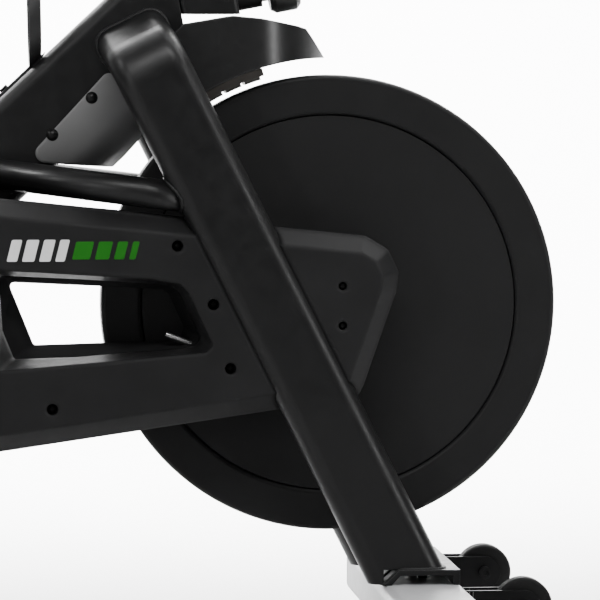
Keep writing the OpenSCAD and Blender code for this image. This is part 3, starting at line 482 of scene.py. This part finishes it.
# ---- saddle: a foam pad under a stretched cover, made by cloth simulation, with seams added after it
def saddle():
    src = NODES["saddle_pad"]
    lo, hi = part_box("saddle_pad")
    mid = (lo + hi) / 2
    mesh = src.data.copy()
    mesh.name = "saddle_cushion"
    for v in mesh.vertices:
        q = v.co - mid
        v.co = mid + Vector((q.x * 0.955, q.y * 0.945, q.z * 0.86))
    mesh.materials.clear()
    o = bpy.data.objects.new("saddle_cushion", mesh)
    bpy.context.scene.collection.objects.link(o)
    bpy.context.view_layer.objects.active = o
    o.select_set(True)
    r = o.modifiers.new("remesh", "REMESH")
    r.mode = "VOXEL"
    r.voxel_size = 0.005
    bpy.ops.object.modifier_apply(modifier="remesh")
    sm = o.modifiers.new("smooth", "SMOOTH")
    sm.iterations = 14
    bpy.ops.object.modifier_apply(modifier="smooth")
    rest = [v.co.copy() for v in o.data.vertices]
    c = o.modifiers.new("cloth", "CLOTH")
    c.settings.use_pressure = True
    c.settings.uniform_pressure_force = 4
    c.settings.effector_weights.gravity = 0
    c.settings.quality = 5
    c.point_cache.frame_start = 1
    c.point_cache.frame_end = 20
    scene = bpy.context.scene
    for f in range(1, 21):
        scene.frame_set(f)
    bpy.ops.object.modifier_apply(modifier="cloth")
    scene.frame_set(1)
    # sit lower along the middle, as a saddle does, and stay within the CAD solid
    nose, tail = hi.x, lo.x
    for v, q in zip(o.data.vertices, rest):
        d = v.co - q
        if d.length > 0.007:
            v.co = q + d * (0.007 / d.length)
        along = (v.co.x - tail) / (nose - tail)
        if v.co.z > mid.z:
            lift = (v.co.z - mid.z) / (hi.z - mid.z)
            ends = min(1, max(0, (along - 0.10) / 0.15)) * min(1, max(0, (0.80 - along) / 0.2))
            groove = math.exp(-((v.co.y / 0.011) ** 2)) * ends
            v.co.z -= lift * 0.007 * groove
            v.co.z -= lift * 0.006 * math.sin(math.pi * min(1, max(0, (along - 0.3) / 0.55)))
            v.co.z -= lift * 0.012 * max(0, along - 0.86) / 0.14
    sub = o.modifiers.new("sub", "SUBSURF")
    sub.levels = sub.render_levels = 1
    bpy.ops.object.modifier_apply(modifier="sub")
    for f in o.data.polygons:
        f.use_smooth = True
    o.data.materials.clear()
    o.data.materials.append(MATS["saddle_cover"])
    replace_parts(o, "saddle_pad")
    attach(o, "saddle")
    # seams: a piped edge round the pad, and two stitched lines over the top
    t = BVHTree.FromPolygons([v.co for v in o.data.vertices], [tuple(q.vertices) for q in o.data.polygons])
    cx, cy = mid.x, 0.0
    rim = []
    for i in range(140):
        a = 2 * math.pi * i / 140
        d = Vector((math.cos(a), math.sin(a), 0))
        hit = t.ray_cast(Vector((cx, cy, lo.z + 0.013)) + d * 0.4, -d, 0.5)
        if hit[0] is not None:
            rim.append(hit[0])
    v, f = sweep(resampled(rim, 0.0014), 0.0017, 8, True)
    piece("saddle_piping", v, f, "saddle_piping", "saddle")
    for side in (-1, 1):
        line = []
        for i in range(90):
            x = tail + 0.016 + (nose - tail - 0.045) * i / 89
            along = (x - tail) / (nose - tail)
            y = side * (0.020 + 0.044 * (1 - along) ** 2.2)
            hit = t.ray_cast(Vector((x, y, hi.z + 0.1)), Vector((0, 0, -1)), 0.3)
            if hit[0] is not None:
                line.append(hit[0] + hit[1] * 0.0002)
        v, f = sweep(resampled(line, 0.0015, False), 0.0009, 6)
        piece(f"saddle_seam_{'right' if side < 0 else 'left'}", v, f, "saddle_piping", "saddle")
        even = resampled(line, 0.0034, False)
        verts, faces = [], []
        for a, b in zip(even[:-1], even[1:]):
            step = (b - a) * 0.62
            out = Vector((0, side, 0)) * 0.0022
            hit = t.find_nearest(a + out)
            base = hit[0] + hit[1] * 0.0002
            sv, sf = sweep([base, base + step * 0.5 + Vector((0, 0, 0.0003)), base + step], 0.0004, 5)
            faces += [tuple(k + len(verts) for k in q) for q in sf]
            verts += sv
        piece(f"saddle_stitch_{'right' if side < 0 else 'left'}", verts, faces, "thread", "saddle")


saddle()


# ---- turned pieces: a profile of (distance along, radius) swept round the line from a to b
def lathe(name, a, b, profile, mat, body, sides=40):
    d = (b - a).normalized()
    u = d.orthogonal().normalized()
    w = d.cross(u)
    verts, faces = [], []
    for t, r in profile:
        for k in range(sides):
            c = 2 * math.pi * k / sides
            verts.append(a + d * t + (u * math.cos(c) + w * math.sin(c)) * max(r, 0.0001))
    n = len(profile)
    for i in range(n - 1):
        for k in range(sides):
            a1, b1 = i * sides, (i + 1) * sides
            faces.append((a1 + k, a1 + (k + 1) % sides, b1 + (k + 1) % sides, b1 + k))
    faces += [tuple(range(sides))[::-1], tuple(range((n - 1) * sides, n * sides))]
    return piece(name, verts, faces, mat, body)


def grip_profile(length, r, step=0.0085):
    prof = [(0, r - 0.004), (0.0006, r - 0.0016), (0.002, r - 0.0004), (0.004, r)]
    t = 0.012
    while t < length - 0.016:
        prof += [(t, r), (t + 0.0008, r - 0.0007), (t + 0.0016, r - 0.0007), (t + 0.0024, r)]
        t += step
    prof += [(length - 0.010, r), (length - 0.006, r - 0.0002), (length - 0.003, r - 0.002),
             (length - 0.001, r - 0.006), (length - 0.0002, r - 0.011), (length, 0.0004)]
    return prof


BAR_X, BAR_Z = -75.7, 1054.4
grips = []
for side, tag in ((-1, "right"), (1, "left")):
    a, b = P(BAR_X - 66, side * 226, BAR_Z), P(BAR_X - 206, side * 226, BAR_Z)
    grips.append(lathe(f"grip_rear_{tag}", a, b, grip_profile((b - a).length, 0.0179), "grip_foam", "bars"))
    m, e = P(BAR_X + 95, side * 66, BAR_Z + 12), P(BAR_X + 150, side * 62, BAR_Z + 62)
    d = (e - m).normalized()
    a, b = m + d * 0.0072, e + d * 0.0036
    grips.append(lathe(f"grip_front_{tag}", a, b, grip_profile((b - a).length, 0.0159), "grip_foam", "bars"))
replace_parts(grips[0], "grips")

# ---- console: screen window, four display patches and three buttons on the sloping face
FACE = moved(BAR_X - 26, 0, BAR_Z + 49.5) @ turned("Y", -35)


def plate(name, cx, cy, w, h, z1, z2, r, mat, soft=0.8):
    outline = rounded_outline(w, h, r, 6)
    small = rounded_outline(w - 2 * soft, h - 2 * soft, max(r - soft, 0.4), 6)
    if len(outline) != len(small):
        small = [(x * (w - 2 * soft) / w, y * (h - 2 * soft) / h) for x, y in outline]
    n = len(outline)
    rows = [(outline, z1), (outline, z2 - soft), (small, z2)]
    verts = [to_world(FACE, (cx + x, cy + y, z)) for ring, z in rows for x, y in ring]
    faces = []
    for i in range(2):
        faces += [(i * n + k, i * n + (k + 1) % n, (i + 1) * n + (k + 1) % n, (i + 1) * n + k) for k in range(n)]
    faces += [tuple(range(n))[::-1], tuple(range(2 * n, 3 * n))]
    return piece(name, verts, faces, mat, "bars", False)


plate("console_screen", 3, 0, 36.6, 90.6, 9.1, 10.2, 3.4, "screen_glass", 0.3)
for i, y in enumerate((-34, 0, 34)):
    plate(f"console_button_{i + 1}", -23.2, y, 7, 20, 10.6, 12.4, 3, "button_rubber", 0.6)
for i, (x1, y1, w, h) in enumerate(((10, -22, 12, 36), (10, 22, 12, 36), (-5, -22, 10, 36), (-5, 22, 10, 36))):
    plate(f"console_display_{i + 1}", x1, y1, w, h, 10.2, 10.35, 1, "display_grey", 0.05)


# ---- printed stripes on the cover's flat face, plain bars that stand in for the graphic
def stripe(name, x1, x2, z1, z2, lean, mat):
    pts = rounded_outline(x2 - x1, z2 - z1, 1.6, 4)
    cx, cz = (x1 + x2) / 2, (z1 + z2) / 2
    front = [P(cx + x + z * lean, -108.35, cz + z) for x, z in pts]
    back = [P(cx + x + z * lean, -107.8, cz + z) for x, z in pts]
    n = len(pts)
    faces = [tuple(range(n)), tuple(range(n, 2 * n))[::-1]]
    faces += [(i, (i + 1) % n, n + (i + 1) % n, n + i) for i in range(n)]
    piece(name, front + back, faces, mat, "root", False)


STRIPE_LEAN = 0.25
for i, (x1, x2) in enumerate(((-345, -334), (-329, -316), (-311, -299), (-294, -284))):
    stripe(f"stripe_white_{i + 1}", x1, x2, 409, 432, STRIPE_LEAN, "stripe_white")
for i, (x1, x2) in enumerate(((-277, -258), (-253, -238), (-233, -222), (-217, -210))):
    stripe(f"stripe_green_{i + 1}", x1, x2, 411, 430, STRIPE_LEAN, "stripe_green")


# ---------------------------------------------------------------- camera, floor and light
def aim(obj, at):
    obj.rotation_euler = (Vector(at) - obj.location).to_track_quat("-Z", "Y").to_euler()


cam_data = bpy.data.cameras.new("camera")
cam_data.sensor_width = 36
cam_data.lens = 280.4
cam = bpy.data.objects.new("camera", cam_data)
cam.location = (-0.1355, -5.020, 0.620)
aim(cam, (0.2925, -0.020, 0.363))
bpy.context.scene.collection.objects.link(cam)
bpy.context.scene.camera = cam

# a pale floor that curves up into the backdrop
verts, faces = [], []
CURVE_Y, CURVE_R = 2.2, 1.5
curve = [(CURVE_Y + CURVE_R * math.sin(math.radians(t)), CURVE_R - CURVE_R * math.cos(math.radians(t)))
         for t in range(6, 91, 6)]
profile = [(-9.0, 0.0), (CURVE_Y, 0.0)] + curve + [(3.7, 9.0)]
for y, z in profile:
    verts += [(-12.0, y, z), (12.0, y, z)]
for i in range(len(profile) - 1):
    faces.append((2 * i, 2 * i + 1, 2 * i + 3, 2 * i + 2))
floor_mesh = bpy.data.meshes.new("floor")
floor_mesh.from_pydata(verts, [], faces)
for f in floor_mesh.polygons:
    f.use_smooth = True
floor = bpy.data.objects.new("floor", floor_mesh)
bpy.context.scene.collection.objects.link(floor)
fm = Mat("floor")
seen = fm.t.nodes.new("ShaderNodeLightPath").outputs["Is Camera Ray"]
pale = fm.mix(fm.ramp(fm.noise(3, 2), 0, 0.2), (0.90, 0.90, 0.90), (0.86, 0.86, 0.86))
fm.color(fm.mix(seen, (0.45, 0.45, 0.45), pale))
fm.set(roughness=0.9, specular_ior_level=0.1)
# the stage is paler to the camera than to the light that it throws back on the bike,
# and seen from behind, the backdrop lets the view through
tree_nodes = fm.t.nodes
clear = tree_nodes.new("ShaderNodeBsdfTransparent")
either = tree_nodes.new("ShaderNodeMixShader")
fm.link(tree_nodes.new("ShaderNodeNewGeometry").outputs["Backfacing"], either.inputs[0])
fm.link(fm.b.outputs[0], either.inputs[1])
fm.link(clear.outputs[0], either.inputs[2])
fm.link(either.outputs[0], tree_nodes["Material Output"].inputs["Surface"])
floor_mesh.materials.append(fm.m)


def area(name, loc, at, size, power, size_y=None):
    d = bpy.data.lights.new(name, "AREA")
    d.energy = power
    d.size = size
    if size_y:
        d.shape = "RECTANGLE"
        d.size_y = size_y
    o = bpy.data.objects.new(name, d)
    o.location = loc
    aim(o, at)
    o.visible_camera = False
    bpy.context.scene.collection.objects.link(o)
    return o


area("backdrop", (0.3, 1.6, 3.4), (0.3, 3.7, 2.3), 5.5, 1900, 1.4)
area("floor_wash", (0.2, 1.1, 2.4), (0.3, 2.6, 0.0), 3.6, 330, 0.8)
area("top", (0.5, 0.2, 2.6), (0.3, 0.1, 0.4), 1.6, 22, 0.7)
area("top_front", (0.1, -2.0, 2.4), (0.2, 0.0, 0.5), 1.8, 44, 0.5)
area("left_top", (-1.9, -0.7, 2.0), (0.0, 0.0, 0.6), 0.3, 16, 1.2)
area("right_top", (1.6, -0.4, 2.1), (0.3, 0.0, 0.5), 0.4, 16, 1.2)
area("right_side", (2.6, -1.6, 1.0), (0.3, 0.0, 0.55), 0.45, 24, 1.3)
area("left_front", (-2.0, -2.9, 1.2), (-0.1, 0.0, 0.45), 0.5, 24, 1.4)

world = bpy.data.worlds.new("world")
bpy.context.scene.world = world
world.use_nodes = True
world.node_tree.nodes["Background"].inputs["Color"].default_value = (1, 1, 1, 1)
world.node_tree.nodes["Background"].inputs["Strength"].default_value = 0.06
# the air beyond the floor's edge looks as pale as the backdrop, and lights the bike no more for it
air = world.node_tree.nodes.new("ShaderNodeMapRange")
world.node_tree.links.new(world.node_tree.nodes.new("ShaderNodeLightPath").outputs["Is Camera Ray"], air.inputs["Value"])
air.inputs["To Min"].default_value = 0.06
air.inputs["To Max"].default_value = 3.0
world.node_tree.links.new(air.outputs["Result"], world.node_tree.nodes["Background"].inputs["Strength"])
